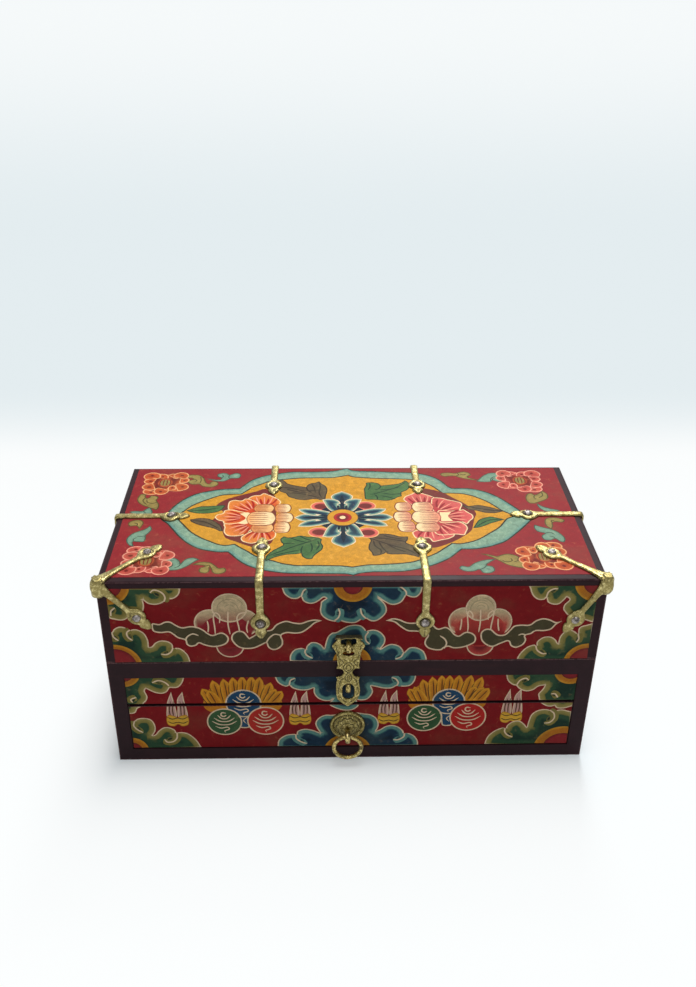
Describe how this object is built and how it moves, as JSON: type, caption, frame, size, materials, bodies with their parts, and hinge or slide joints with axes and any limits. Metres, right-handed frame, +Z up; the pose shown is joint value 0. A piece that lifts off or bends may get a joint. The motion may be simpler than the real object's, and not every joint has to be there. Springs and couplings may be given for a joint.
{
  "type": "portable shrine box",
  "caption": "Painted wooden chest with a hinged lid over an upper compartment, a drawer with a ring pull below, steel straps and a brass hasp.",
  "frame": {"origin": "centre of the underside of the box", "axes": "+Z up, -Y out of the front with the hasp and the drawer, +X to the right seen from the front"},
  "size_m": [0.364, 0.1861, 0.17],
  "materials": {
    "painted_wood": "painted ornament under aged varnish",
    "lacquered_wood": "dark worn lacquer",
    "bare_wood": "plain sawn softwood",
    "strap_steel": "forged, aged to straw brown",
    "nail_iron": "round forged heads",
    "brass": "cast and engraved, dark in the hollows"
  },
  "bodies": {
    "base": {"base_bottom": "lacquered_wood", "base_side_left": "lacquered_wood", "base_side_right": "lacquered_wood", "base_back": "lacquered_wood", "base_rail_front": "lacquered_wood", "base_strip_front": "painted_wood", "dust_board": "bare_wood", "hasp_staple_base": "brass", "hinge_leaf_base_left": "brass", "hinge_leaf_base_right": "brass"},
    "lid": {"lid_top": "painted_wood", "lid_front": "painted_wood", "lid_back": "lacquered_wood", "lid_side_left": "lacquered_wood", "lid_side_right": "lacquered_wood", "hasp_staple_lid": "brass", "hinge_leaf_lid_left": "brass", "hinge_leaf_lid_right": "brass", "hinge_pin_left": "brass", "hinge_pin_right": "brass", "strap_front_left": "strap_steel", "strap_front_right": "strap_steel", "strap_back_left": "strap_steel", "strap_back_right": "strap_steel", "strap_side_left": "strap_steel", "strap_side_right": "strap_steel", "corner_bracket_left": "strap_steel", "corner_bracket_right": "strap_steel", "strap_front_left_nail_top": "nail_iron", "strap_front_left_nail_face": "nail_iron", "strap_front_right_nail_top": "nail_iron", "strap_front_right_nail_face": "nail_iron", "strap_back_left_nail_top": "nail_iron", "strap_back_left_nail_face": "nail_iron", "strap_back_right_nail_top": "nail_iron", "strap_back_right_nail_face": "nail_iron", "strap_side_left_nail_top": "nail_iron", "strap_side_left_nail_face": "nail_iron", "strap_side_right_nail_top": "nail_iron", "strap_side_right_nail_face": "nail_iron", "corner_bracket_left_nail_top": "nail_iron", "corner_bracket_left_nail_face": "nail_iron", "corner_bracket_left_nail_side": "nail_iron", "corner_bracket_right_nail_top": "nail_iron", "corner_bracket_right_nail_face": "nail_iron", "corner_bracket_right_nail_side": "nail_iron"},
    "drawer": {"drawer_front": "painted_wood", "drawer_side_left": "bare_wood", "drawer_side_right": "bare_wood", "drawer_back": "bare_wood", "drawer_bottom": "bare_wood", "pull_rosette": "brass", "pull_eye": "brass"},
    "ring": {"pull_ring": "brass"},
    "hasp": {"hasp_plate": "brass"}
  },
  "joints": [
    {"name": "lid_hinge", "type": "hinge", "parent": "base", "child": "lid", "pos_m": [0, 0.086, 0.09575], "axis": [-1, 0, 0], "range_deg": [0, 180]},
    {"name": "drawer_slide", "type": "slide", "parent": "base", "child": "drawer", "axis": [0, -1, 0], "range_m": [0, 0.13]},
    {"name": "ring_swing", "type": "hinge", "parent": "drawer", "child": "ring", "pos_m": [-0.0032, -0.0921, 0.0304], "axis": [-1, 0, 0], "range_deg": [-18, 195]},
    {"name": "hasp_swing", "type": "hinge", "parent": "lid", "child": "hasp", "pos_m": [-0.0032, -0.0889, 0.114], "axis": [-1, 0, 0], "range_deg": [-11.1, 35]}
  ]
}
